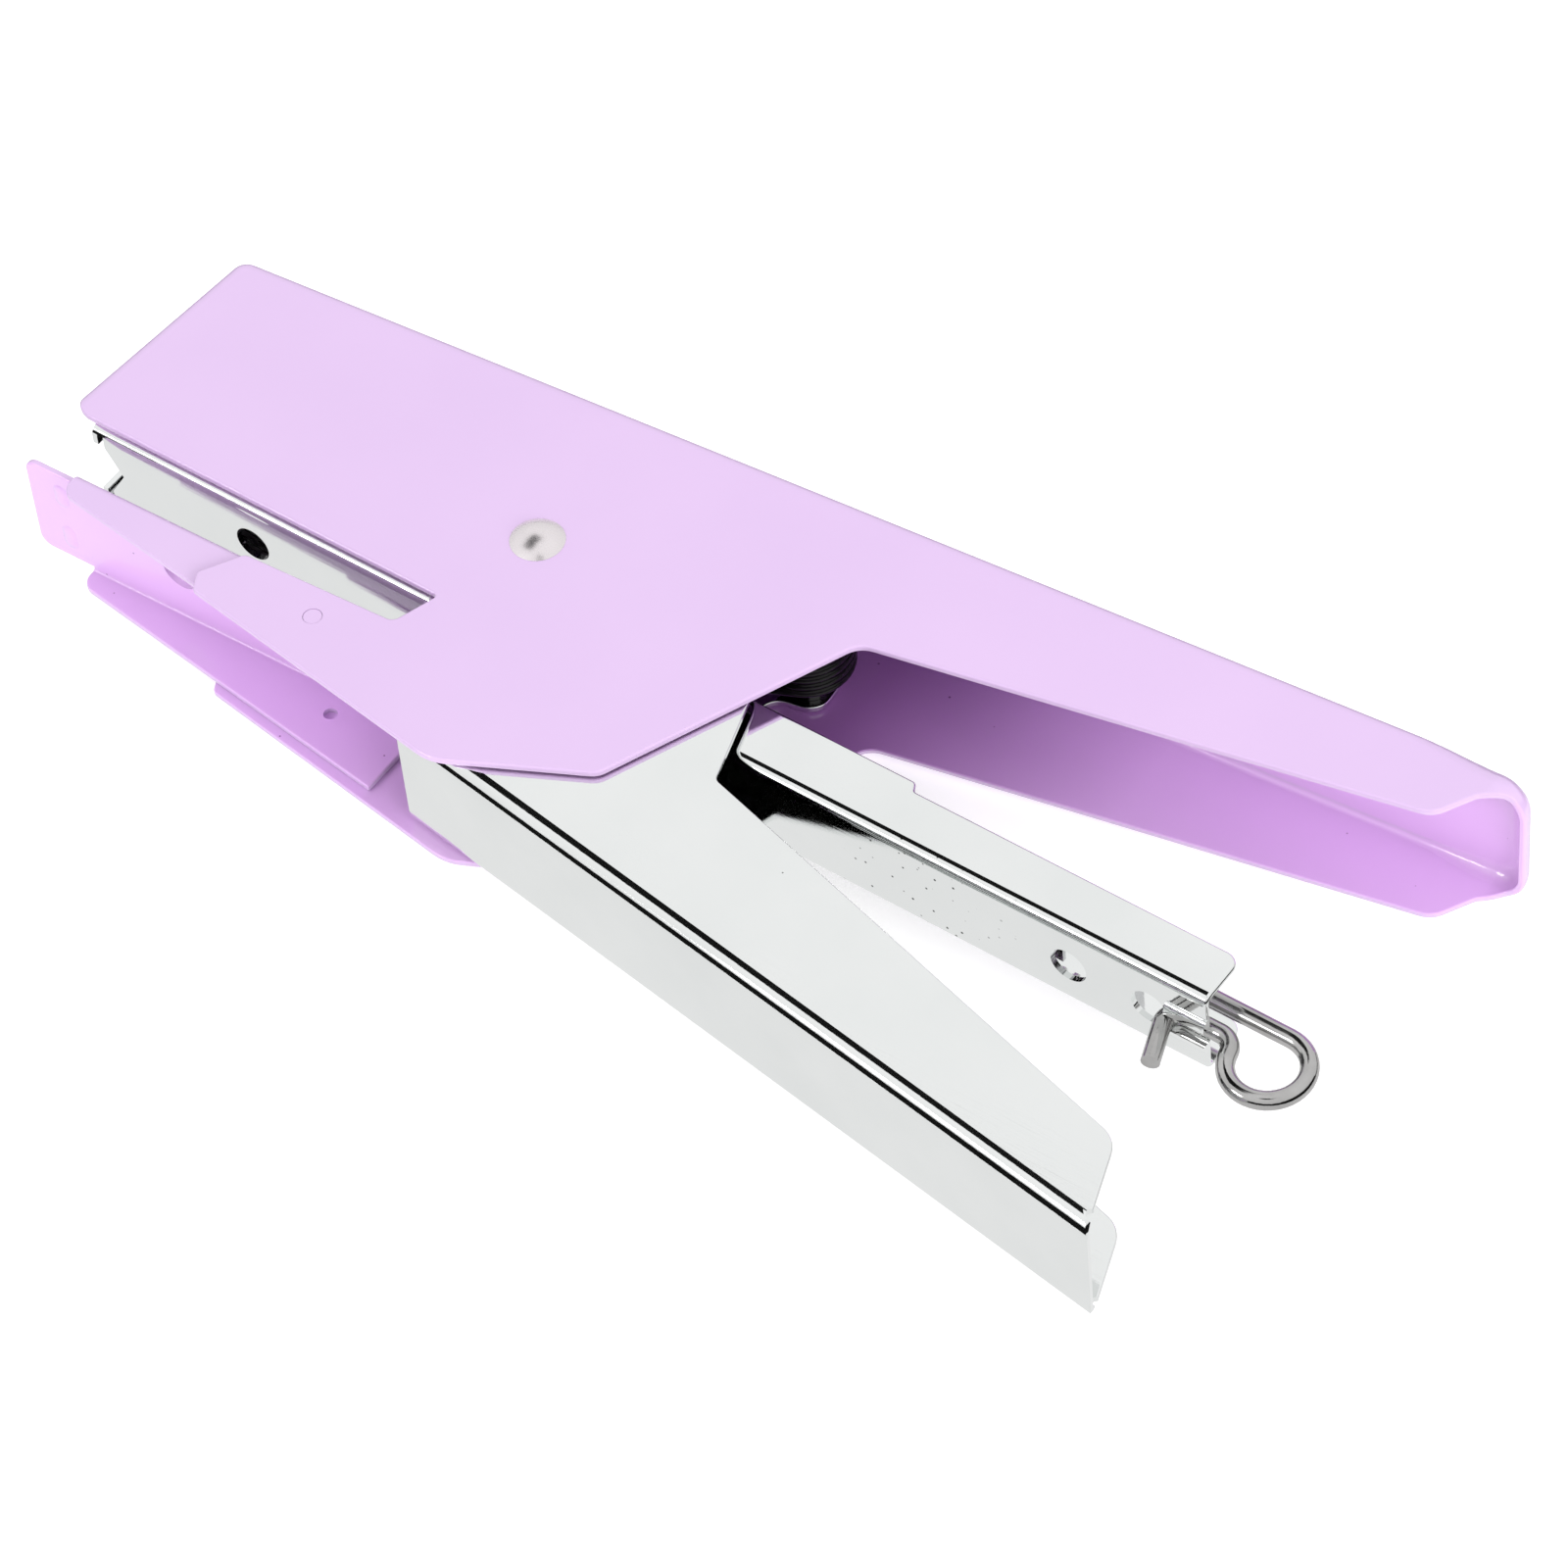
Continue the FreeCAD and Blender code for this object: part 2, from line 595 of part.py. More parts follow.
def magazine_channel():
    """Bright magazine channel that pivots on the main rivet."""
    channel = channel_walls().cut(nose_opening()).fuse(rib_lips()).removeSplitter()
    channel = round_edges(channel, CHANNEL_HALF, CHANNEL_EDGE_R, is_channel_cut)
    channel = round_edges(channel, CHANNEL_HALF - CHANNEL_SHEET, CHANNEL_INNER_EDGE_R, is_channel_cut)
    for x in (FRONT_HOLE_X, REAR_HOLE_X, PEG_HOLE_X):
        channel = channel.cut(Part.makeCylinder(HOLE_R, 4, point(x, CHANNEL_BOTTOM - 2), ALONG_Y))
    slit = box(PEG_HOLE_X, CHANNEL_REAR + 1, CHANNEL_BOTTOM - 2, CHANNEL_BOTTOM + 2, -SLIT_HALF, SLIT_HALF)
    channel = channel.cut(slit)
    return channel.cut(drum(0, 0, RIVET_HOLE_R, -BODY_HALF, BODY_HALF))


def staple_core():
    """Inverted channel that the staples sit astride, slotted along its top for the pusher."""
    floor = CHANNEL_BOTTOM + CHANNEL_SHEET + RUNNING_GAP
    inner = CORE_HALF - CORE_SHEET
    core = box(CORE_FRONT, CORE_REAR, floor, CORE_TOP, -CORE_HALF, CORE_HALF)
    core = core.cut(box(CORE_FRONT - 1, CORE_REAR + 1, floor - 1, CORE_TOP - 0.5, -inner, inner))
    return core.cut(box(CORE_FRONT + 2, CORE_REAR + 1, CORE_TOP - 2, CORE_TOP + 1, -0.9, 0.9))


def rod_path():
    """Centre line of the feed rod: straight, pull loop, back along the slit and down into the peg."""
    loop_y = ROD_Y - LOOP_R
    s_y = LEG_Y - S_BEND_R
    s_x = LOOP_X - math.sqrt((LOOP_R + S_BEND_R) ** 2 - (loop_y - s_y) ** 2)
    share = LOOP_R / (LOOP_R + S_BEND_R)
    meet = point(LOOP_X + (s_x - LOOP_X) * share, loop_y + (s_y - loop_y) * share)
    loop_top = point(LOOP_X, ROD_Y)
    meet_angle = math.atan2(meet.y - loop_y, meet.x - LOOP_X) + 2 * math.pi
    loop_mid_angle = (math.pi / 2 + meet_angle - 2 * math.pi) / 2
    loop_mid = point(LOOP_X + LOOP_R * math.cos(loop_mid_angle), loop_y + LOOP_R * math.sin(loop_mid_angle))
    s_start_angle = math.atan2(meet.y - s_y, meet.x - s_x)
    s_mid_angle = (s_start_angle + math.pi / 2) / 2
    s_mid = point(s_x + S_BEND_R * math.cos(s_mid_angle), s_y + S_BEND_R * math.sin(s_mid_angle))
    s_top = point(s_x, LEG_Y)
    peg_y = LEG_Y - PEG_BEND_R
    turn = math.radians(PEG_TURN)
    bend_top = point(PEG_BEND_X, LEG_Y)
    bend_mid = point(
        PEG_BEND_X + PEG_BEND_R * math.cos(math.pi / 2 + turn / 2),
        peg_y + PEG_BEND_R * math.sin(math.pi / 2 + turn / 2),
    )
    bend_end = point(
        PEG_BEND_X + PEG_BEND_R * math.cos(math.pi / 2 + turn),
        peg_y + PEG_BEND_R * math.sin(math.pi / 2 + turn),
    )
    heading = math.pi + turn
    tip = bend_end + FreeCAD.Vector(math.cos(heading), math.sin(heading), 0) * PEG_LENGTH
    edges = [
        Part.LineSegment(point(ROD_FRONT, ROD_Y), loop_top).toShape(),
        Part.Arc(loop_top, loop_mid, meet).toShape(),
        Part.Arc(meet, s_mid, s_top).toShape(),
        Part.LineSegment(s_top, bend_top).toShape(),
        Part.Arc(bend_top, bend_mid, bend_end).toShape(),
        Part.LineSegment(bend_end, tip).toShape(),
    ]
    return Part.Wire(edges)


def feed_rod():
    """Steel wire that carries the pusher and its spring, with a pull loop and a latching peg."""
    path = rod_path()
    circle = Part.Circle(point(ROD_FRONT, ROD_Y), ALONG_X, WIRE_R)
    section = Part.Wire([circle.toShape()])
    rod = path.makePipeShell([section], True, False)
    expected = math.pi * WIRE_R ** 2 * path.Length
    print("feed rod volume over section times length:", round(rod.Volume / expected, 4))
    return rod


def rod_collar():
    """Collar crimped on the rod's front end that keeps the pusher on."""
    collar_r = 1.45
    collar = bar(ROD_FRONT - 0.1, ROD_FRONT + 0.9, ROD_Y, collar_r)
    return collar.cut(bar(ROD_FRONT - 1, ROD_FRONT + 2, ROD_Y, WIRE_R + 0.01))


def pusher():
    """Follower astride the core, with a neck and a bush that slides on the rod."""
    outline = [
        (PUSHER_TIP, -10.7, 0.5),
        (PUSHER_REAR, -10.7, 0.5),
        (PUSHER_REAR, CORE_TOP + 0.55, 0.4),
        (PUSHER_FRONT, CORE_TOP + 0.55, 0.4),
        (PUSHER_FRONT, -5.7, 0.3),
        (PUSHER_TIP, -5.7, 0.4),
    ]
    saddle = plate(outline, PUSHER_HALF)
    inner = CORE_HALF + 0.08
    saddle = saddle.cut(box(PUSHER_TIP - 1, PUSHER_REAR + 1, -20, CORE_TOP + 0.05, -inner, inner))
    neck = box(PUSHER_FRONT + 0.6, PUSHER_REAR - 0.6, -5.7, CORE_TOP + 0.3, -0.7, 0.7)
    bush = box(PUSHER_FRONT + 0.6, PUSHER_REAR - 0.6, -8.6, -5.5, -2.0, 2.0)
    solid = saddle.fuse(neck).fuse(bush)
    return solid.cut(bar(PUSHER_TIP - 2, PUSHER_REAR + 2, ROD_Y, WIRE_R + RUNNING_GAP)).removeSplitter()


def feed_spring():
    """Sleeve of the long compression spring between the pusher and the rod stop."""
    low = PUSHER_REAR + 0.1
    high = STOP_FRONT - 0.1
    return bar(low, high, ROD_Y, 1.5).cut(bar(low - 1, high + 1, ROD_Y, WIRE_R + 0.1))


def rod_stop():
    """Block fixed on the rod behind the core that the feed spring pushes against."""
    block = box(STOP_FRONT, STOP_REAR, -10.5, CORE_TOP, -4.5, 4.5)
    upright = [e for e in block.Edges if e.BoundBox.XLength > 1]
    block = block.makeFillet(0.6, upright)
    return block.cut(bar(STOP_FRONT - 1, STOP_REAR + 1, ROD_Y, WIRE_R + 0.01))


def main():
    os.makedirs("parts", exist_ok=True)
    makers = [
        body_shell,
        anvil_arm,
        pivot_rivet,
        pivot_spacer,
        pivot_washers,
        lower_handle,
        spring_post,
        return_spring,
        blade_pin,
        driver_blade,
        magazine_channel,
        staple_core,
        feed_rod,
        rod_collar,
        pusher,
        feed_spring,
        rod_stop,
    ]
    for maker in makers:
        shape = maker()
        name = maker.__name__
        size = shape.BoundBox
        print(name, "valid" if shape.isValid() else "INVALID", "solids", len(shape.Solids),
              "volume", round(shape.Volume, 1), "x", round(size.XMin, 2), round(size.XMax, 2),
              "y", round(size.YMin, 2), round(size.YMax, 2), "z", round(size.ZMin, 2), round(size.ZMax, 2))
        shape.exportStep("parts/" + name + ".step")


main()
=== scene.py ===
import json
import math

import bmesh
import bpy
from mathutils import Matrix, Vector


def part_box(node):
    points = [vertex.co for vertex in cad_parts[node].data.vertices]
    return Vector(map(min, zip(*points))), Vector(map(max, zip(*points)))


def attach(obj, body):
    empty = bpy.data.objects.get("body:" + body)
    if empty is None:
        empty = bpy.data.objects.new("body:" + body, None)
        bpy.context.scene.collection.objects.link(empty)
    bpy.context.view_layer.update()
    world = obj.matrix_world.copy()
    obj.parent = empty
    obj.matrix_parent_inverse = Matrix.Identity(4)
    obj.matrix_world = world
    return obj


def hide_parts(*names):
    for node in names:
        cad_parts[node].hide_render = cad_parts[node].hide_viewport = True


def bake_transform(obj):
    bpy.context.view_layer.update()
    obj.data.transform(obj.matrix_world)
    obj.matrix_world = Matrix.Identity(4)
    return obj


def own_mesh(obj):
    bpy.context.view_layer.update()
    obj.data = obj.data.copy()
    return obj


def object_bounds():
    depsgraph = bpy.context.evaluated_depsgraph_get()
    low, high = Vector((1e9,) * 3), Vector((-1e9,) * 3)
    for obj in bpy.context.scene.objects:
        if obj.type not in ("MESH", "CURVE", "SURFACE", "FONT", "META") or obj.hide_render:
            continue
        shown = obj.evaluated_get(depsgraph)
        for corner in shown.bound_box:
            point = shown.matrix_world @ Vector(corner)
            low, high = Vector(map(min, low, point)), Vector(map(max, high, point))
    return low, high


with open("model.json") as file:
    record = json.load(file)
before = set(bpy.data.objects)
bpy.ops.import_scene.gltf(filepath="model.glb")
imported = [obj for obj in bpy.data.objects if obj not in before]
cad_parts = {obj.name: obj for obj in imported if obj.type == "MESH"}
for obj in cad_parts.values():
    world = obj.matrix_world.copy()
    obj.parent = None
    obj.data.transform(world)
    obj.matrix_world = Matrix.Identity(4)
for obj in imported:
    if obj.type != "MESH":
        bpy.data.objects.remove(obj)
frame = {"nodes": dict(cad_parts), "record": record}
cad_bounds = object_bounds()


def centre_of(node):
    low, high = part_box(node)
    return (low + high) / 2


# Camera
CAMERA_AZIMUTH = math.radians(40.561)
CAMERA_ELEVATION = math.radians(50.232)
CAMERA_ROLL = math.radians(-6.116)
CAMERA_DISTANCE = 0.7294
CAMERA_LENS = 156.88       # focal length and sensor in mm
SENSOR_WIDTH = 36.0
CLIP_NEAR = 0.05
CLIP_FAR = 20.0
TARGET = centre_of("pivot_rivet") + Vector((0.03792, -0.00773, 0.0))  # middle of the picture

# Wire
END_CHAMFER = 0.2          # of the wire's radius

# Return spring
RETURN_WIRE_R = 0.00058
RETURN_PITCH = 0.00112
RETURN_TURNS = 4           # whole turns, besides the part turn between the legs
COIL_GAP = 0.00045         # between the post and the inside of the coil
UPPER_TIP_INSET = Vector((0.0045, -0.0006))  # from the front top corner of the CAD spring
LOWER_TIP_INSET = Vector((0.0006, 0.0007))   # from the front bottom corner of the CAD spring
LEG_STEPS = 14
STEPS_PER_TURN = 40

# Feed spring
FEED_WIRE_R = 0.00017
FEED_COILS = 76
FEED_CLOSED_COILS = 3      # at each end
FEED_CLOSED_PITCH = 1.05   # of the wire's diameter
FEED_STEPS_PER_TURN = 14

# Inside of the pressings, where the paint gets a deeper, lighter tone: painted light that stands in for the
# light the coat bounces back and forth in the hollow
MIDDLE_Z = centre_of("body_shell").z
HOLLOW_HALF = 0.0071       # half-width of the stretch of spine or web with the inner tone,
RIM_HALF = 0.0078          # and of the stretch in which that tone fades out
FACES_IN = -0.5            # normal component at which a face counts as an inner one,
FACES_ACROSS = -0.1        # and at which it no longer does

# Painted shade: the inner tone darkens in the crotch round the return spring, inside the upper handle
SHADE_FULL_X = 0.034         # full strength up to here,
SHADE_END_X = 0.066          # and none from here
SHADE_LOW_Y = -0.010         # none below here,
SHADE_HIGH_Y = 0.0           # and full strength from here
SHADE_STRENGTH = 0.92

# Soiled patch on the magazine's web
WEB_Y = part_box("staple_core")[0].y - 0.00075  # outer face of the web
SOIL_DEPTH = 0.0008        # a face this near WEB_Y counts as the web
SOIL_FRONT_X = (0.046, 0.052)  # it fades in between these,
SOIL_REAR_X = (0.064, 0.072)   # and out between these

# Studio
FLOOR_HALF = 3.0
CARD_LIFT = 0.001          # of the dark surround over the floor
GLOSS_FLOOR_LIFT = 0.0003
FLOOR_IN_GLOSS = 0.85      # the floor near the object, as bright metal and paint reflect it
SURROUND_MARGIN = 0.03     # of light floor round the object
SURROUND_REACH = 1.0
FRONT_HEIGHT = 0.30        # of the dark room's wall at -Y and +X,
BACK_HEIGHT = 0.03         # and at +Y and -X
GAP_X = (-0.68, -0.22)     # gap between two overhead softboxes
GAP_Y = (-0.2, 0.5)
GAP_Z = 1.0
RIG_AZIMUTH = math.radians(41.0)  # dark rig over the lens
RIG_ELEVATION = math.radians(66.0)
RIG_DISTANCE = 0.95
RIG_HALF_X = 0.12
RIG_HALF_Y = 0.09


# ---------------------------------------------------------------- object helpers

def finished_mesh(name, shape):
    """Mesh made from a bmesh, which is freed."""
    mesh = bpy.data.meshes.new(name)
    shape.to_mesh(mesh)
    shape.free()
    return mesh


def add_object(name, data):
    """New object in the scene, made of data."""
    piece = bpy.data.objects.new(name, data)
    bpy.context.scene.collection.objects.link(piece)
    return piece


# ---------------------------------------------------------------- node helpers

def new_material(name):
    """Material with a plain Principled shader, as (material, node tree, shader)."""
    material = bpy.data.materials.new(name)
    material.use_nodes = True
    tree = material.node_tree
    tree.nodes.clear()
    output = tree.nodes.new("ShaderNodeOutputMaterial")
    shader = tree.nodes.new("ShaderNodeBsdfPrincipled")
    tree.links.new(shader.outputs["BSDF"], output.inputs["Surface"])
    return material, tree, shader


def object_coordinates(tree, stretch=(1.0, 1.0, 1.0)):
    """Object coordinates in metres, stretched for grain that runs one way."""
    source = tree.nodes.new("ShaderNodeTexCoord")
    mapping = tree.nodes.new("ShaderNodeMapping")
    mapping.inputs["Scale"].default_value = stretch
    tree.links.new(source.outputs["Object"], mapping.inputs["Vector"])
    return mapping.outputs["Vector"]


def noise(tree, vector, scale, detail=4.0, roughness=0.5):
    node = tree.nodes.new("ShaderNodeTexNoise")
    node.inputs["Scale"].default_value = scale
    node.inputs["Detail"].default_value = detail
    node.inputs["Roughness"].default_value = roughness
    tree.links.new(vector, node.inputs["Vector"])
    return node.outputs["Fac"]


def axes(tree, vector):
    """Outputs X, Y and Z of a vector."""
    node = tree.nodes.new("ShaderNodeSeparateXYZ")
    tree.links.new(vector, node.inputs["Vector"])
    return node.outputs


def ramp(tree, value, stops):
    """Colour ramp through stops of (position, colour)."""
    node = tree.nodes.new("ShaderNodeValToRGB")
    elements = node.color_ramp.elements
    while len(elements) < len(stops):
        elements.new(0.5)
    for element, (position, colour) in zip(elements, stops):
        element.position = position
        element.color = (*colour, 1.0)
    tree.links.new(value, node.inputs["Fac"])
    return node.outputs["Color"]


def grey(level):
    return (level, level, level)


def map_range(tree, value, low, high, to_low, to_high):
    node = tree.nodes.new("ShaderNodeMapRange")
    node.inputs["From Min"].default_value = low
    node.inputs["From Max"].default_value = high
    node.inputs["To Min"].default_value = to_low
    node.inputs["To Max"].default_value = to_high
    tree.links.new(value, node.inputs["Value"])
    return node.outputs["Result"]


def arithmetic(tree, operation, *values):
    """Math node over numbers or outputs."""
    node = tree.nodes.new("ShaderNodeMath")
    node.operation = operation
    for socket, value in zip(node.inputs, values):
        if isinstance(value, float):
            socket.default_value = value
        else:
            tree.links.new(value, socket)
    return node.outputs["Value"]


def specks(tree, vector, scale, size, share):
    """Mask that is 1 in small dots, one in each of that share of the cells, and 0 elsewhere."""
    node = tree.nodes.new("ShaderNodeTexVoronoi")
    node.inputs["Scale"].default_value = scale
    tree.links.new(vector, node.inputs["Vector"])
    near = map_range(tree, node.outputs["Distance"], size * 0.6, size, 1.0, 0.0)
    separate = tree.nodes.new("ShaderNodeSeparateColor")
    tree.links.new(node.outputs["Color"], separate.inputs["Color"])
    chosen = arithmetic(tree, "LESS_THAN", separate.outputs["Red"], share)
    return arithmetic(tree, "MULTIPLY", near, chosen)


def mix_colour(tree, factor, first, second):
    """Mix of two colours or colour outputs."""
    node = tree.nodes.new("ShaderNodeMix")
    node.data_type = "RGBA"
    tree.links.new(factor, node.inputs["Factor"])
    for socket, value in (("A", first), ("B", second)):
        target = [s for s in node.inputs if s.name == socket and s.type == "RGBA"][0]
        if isinstance(value, tuple):
            target.default_value = (*value, 1.0)
        else:
            tree.links.new(value, target)
    return [s for s in node.outputs if s.type == "RGBA"][0]


def bump(tree, shader, height, strength, distance):
    node = tree.nodes.new("ShaderNodeBump")
    node.inputs["Strength"].default_value = strength
    node.inputs["Distance"].default_value = distance
    tree.links.new(height, node.inputs["Height"])
    tree.links.new(node.outputs["Normal"], shader.inputs["Normal"])


# ---------------------------------------------------------------- materials

def inner_side(tree):
    """Mask that is 1 on the inside of the pressings: walls that face the mid-plane, and under the spine. It
    places the paint's painted bounce-light tone, and the dust.
    """
    source = tree.nodes.new("ShaderNodeTexCoord")
    place = axes(tree, source.outputs["Object"])
    facing = axes(tree, source.outputs["Normal"])
    across = arithmetic(tree, "SUBTRACT", place["Z"], MIDDLE_Z)
    outward = arithmetic(tree, "MULTIPLY", arithmetic(tree, "SIGN", across), facing["Z"])
    wall = map_range(tree, outward, FACES_IN, FACES_ACROSS, 1.0, 0.0)
    below = map_range(tree, facing["Y"], FACES_IN, FACES_ACROSS, 1.0, 0.0)
    within = map_range(tree, arithmetic(tree, "ABSOLUTE", across), HOLLOW_HALF, RIM_HALF, 1.0, 0.0)
    return arithmetic(tree, "MAXIMUM", wall, arithmetic(tree, "MULTIPLY", below, within))


def lilac_paint():
    """Gloss enamel on sheet metal: faint orange peel and a few dust specks, with painted light inside the
    pressings and painted shade in the crotch near the spring.
    """
    material, tree, shader = new_material("lilac_paint")
    place = object_coordinates(tree)
    drift = noise(tree, place, scale=45.0, detail=3.0)
    outside = ramp(tree, drift, [(0.30, (0.577, 0.413, 0.660)), (0.70, (0.597, 0.429, 0.676))])
    # The inner tone is painted light: deeper and lighter than the outer one, it stands in for the light the
    # coat bounces back and forth inside the pressings.
    inside = ramp(tree, drift, [(0.30, (0.670, 0.420, 0.765)), (0.70, (0.692, 0.438, 0.785))])
    inner = inner_side(tree)
    at = axes(tree, place)
    # Painted shade: a deep purple in the crotch round the return spring, where the hollow lies in shade.
    crotch_shade_fade = map_range(tree, at["X"], SHADE_FULL_X, SHADE_END_X, SHADE_STRENGTH, 0.0)
    in_handle = map_range(tree, at["Y"], SHADE_LOW_Y, SHADE_HIGH_Y, 0.0, 1.0)
    painted_crotch_shade = arithmetic(tree, "MULTIPLY", crotch_shade_fade, in_handle)
    inside_with_painted_shade = mix_colour(tree, painted_crotch_shade, inside, (0.33, 0.13, 0.42))
    tone = mix_colour(tree, inner, outside, inside_with_painted_shade)
    dust = arithmetic(tree, "MULTIPLY", inner, specks(tree, place, scale=260.0, size=0.045, share=1.0))
    grit = arithmetic(tree, "MAXIMUM", dust, specks(tree, place, scale=150.0, size=0.020, share=0.6))
    colour = mix_colour(tree, grit, tone, (0.16, 0.06, 0.20))
    tree.links.new(colour, shader.inputs["Base Color"])
    rough = map_range(tree, noise(tree, place, scale=160.0, detail=3.0), 0.2, 0.8, 0.29, 0.33)
    tree.links.new(rough, shader.inputs["Roughness"])
    shader.inputs["Specular IOR Level"].default_value = 0.5
    shader.inputs["Coat Weight"].default_value = 0.9
    shader.inputs["Coat Roughness"].default_value = 0.08
    bump(tree, shader, noise(tree, place, scale=900.0, detail=2.0), strength=0.05, distance=0.0002)
    return material


def chrome():
    """Bright plated steel: mirror finish with light haze, fine scratches, pinholes and a soiled patch."""
    material, tree, shader = new_material("chrome")
    place = object_coordinates(tree)
    haze = noise(tree, place, scale=70.0)
    tone = ramp(tree, haze, [(0.30, (0.83, 0.85, 0.845)), (0.70, (0.88, 0.895, 0.89))])
    pits = specks(tree, place, scale=190.0, size=0.018, share=0.6)
    at = axes(tree, place)
    behind_front = map_range(tree, at["X"], *SOIL_FRONT_X, 0.0, 1.0)
    before_rear = map_range(tree, at["X"], *SOIL_REAR_X, 1.0, 0.0)
    on_web = arithmetic(tree, "COMPARE", at["Y"], WEB_Y, SOIL_DEPTH)
    patch = arithmetic(tree, "MULTIPLY", arithmetic(tree, "MULTIPLY", behind_front, before_rear), on_web)
    soil = arithmetic(tree, "MULTIPLY", patch, specks(tree, place, scale=900.0, size=0.17, share=0.8))
    marks = arithmetic(tree, "MAXIMUM", pits, soil)
    colour = mix_colour(tree, marks, tone, grey(0.05))
    tree.links.new(colour, shader.inputs["Base Color"])
    shader.inputs["Metallic"].default_value = 1.0
    rough = map_range(tree, haze, 0.25, 0.75, 0.035, 0.085)
    tree.links.new(rough, shader.inputs["Roughness"])
    along = object_coordinates(tree, (0.03, 1.0, 1.0))
    scratches = noise(tree, along, scale=2600.0, detail=3.0, roughness=0.6)
    bump(tree, shader, scratches, strength=0.035, distance=0.0001)
    return material


def satin_steel(name, colour_low, colour_high, rough_low, rough_high, stretch, grain_depth=0.12):
    """Plain or nickelled steel, whose grain runs along the axis where stretch is small."""
    material, tree, shader = new_material(name)
    grain = noise(tree, object_coordinates(tree, stretch), scale=1400.0, roughness=0.6)
    blotch = noise(tree, object_coordinates(tree), scale=180.0, detail=3.0)
    tone = ramp(tree, blotch, [(0.30, colour_low), (0.70, colour_high)])
    tree.links.new(tone, shader.inputs["Base Color"])
    shader.inputs["Metallic"].default_value = 1.0
    rough = map_range(tree, grain, 0.3, 0.7, rough_low, rough_high)
    tree.links.new(rough, shader.inputs["Roughness"])
    bump(tree, shader, grain, strength=grain_depth, distance=0.0001)
    return material


def black_spring():
    """Oil-blackened spring wire: dark, with a wet sheen that varies along the wire."""
    material, tree, shader = new_material("black_spring_steel")
    place = object_coordinates(tree)
    blotch = noise(tree, place, scale=420.0)
    tone = ramp(tree, blotch, [(0.30, grey(0.004)), (0.75, (0.012, 0.0115, 0.0115))])
    tree.links.new(tone, shader.inputs["Base Color"])
    shader.inputs["Metallic"].default_value = 0.6
    rough = map_range(tree, blotch, 0.3, 0.7, 0.10, 0.20)
    tree.links.new(rough, shader.inputs["Roughness"])
    shader.inputs["Specular IOR Level"].default_value = 0.2
    shader.inputs["Coat Weight"].default_value = 0.25
    shader.inputs["Coat Roughness"].default_value = 0.06
    bump(tree, shader, noise(tree, place, scale=2500.0, detail=2.0), strength=0.08, distance=0.0001)
    return material


def make_materials():
    """Materials by the name of their slot in the record."""
    return {
        "lilac_paint": lilac_paint(),
        "chrome": chrome(),
        "steel": satin_steel("steel", (0.56, 0.56, 0.57), (0.66, 0.66, 0.67), 0.20, 0.34, (0.1, 1.0, 1.0)),
        "steel_wire": satin_steel(
            "steel_wire", (0.40, 0.395, 0.39), (0.56, 0.555, 0.55), 0.07, 0.15, (0.08, 1.0, 1.0)),
        "blade_steel": satin_steel(
            "blade_steel", (0.48, 0.48, 0.50), (0.56, 0.56, 0.58), 0.18, 0.30, (1.0, 0.06, 1.0)),
        "black_spring_steel": black_spring(),
        "nickel": satin_steel(
            "nickel", (0.80, 0.75, 0.77), (0.86, 0.81, 0.83), 0.24, 0.30, (1.0, 1.0, 1.0), grain_depth=0.02),
    }


def paint_frame(materials):
    """Give every CAD node the material of its slot in the record."""
    for part in frame["record"]["subparts"]:
        mesh = frame["nodes"][part["node"]].data
        mesh.materials.clear()
        mesh.materials.append(materials[part["material_slot"]])


# ---------------------------------------------------------------- wire pieces

def wire_mesh(name, route, radius, sides):
    """Closed round wire swept along the points of route, with chamfered ends."""
    shape = bmesh.new()
    rings = []
    normal = Vector((0.0, 0.0, 1.0))
    last = len(route) - 1
    for i, here in enumerate(route):
        heading = (route[min(i + 1, last)] - route[max(i - 1, 0)]).normalized()
        normal = (normal - heading * normal.dot(heading)).normalized()
        side = heading.cross(normal)
        ring = []
        for k in range(sides):
            angle = 2 * math.pi * k / sides
            ring.append(shape.verts.new(here + (normal * math.cos(angle) + side * math.sin(angle)) * radius))
        rings.append(ring)
    for before, after in zip(rings, rings[1:]):
        for k in range(sides):
            following = (k + 1) % sides
            shape.faces.new((before[k], before[following], after[following], after[k]))
    for ring, end, neighbour in ((rings[0], route[0], route[1]), (rings[-1], route[-1], route[-2])):
        outward = (end - neighbour).normalized() * radius * END_CHAMFER
        lip = [shape.verts.new(end + (v.co - end) * (1 - END_CHAMFER) + outward) for v in ring]
        for k in range(sides):
            following = (k + 1) % sides
            shape.faces.new((ring[k], ring[following], lip[following], lip[k]))
        shape.faces.new(lip)
    bmesh.ops.recalc_face_normals(shape, faces=shape.faces)
    mesh = finished_mesh(name, shape)
    for polygon in mesh.polygons:
        polygon.use_smooth = len(polygon.vertices) == 4
    return add_object(name, mesh)


def tangent_angle(centre, tip, radius, side):
    """Angle on a circle from which a straight leg runs to tip; side is +1 or -1."""
    to_tip = Vector((tip.x - centre.x, tip.y - centre.y))
    return math.atan2(to_tip.y, to_tip.x) + side * math.acos(radius / to_tip.length)


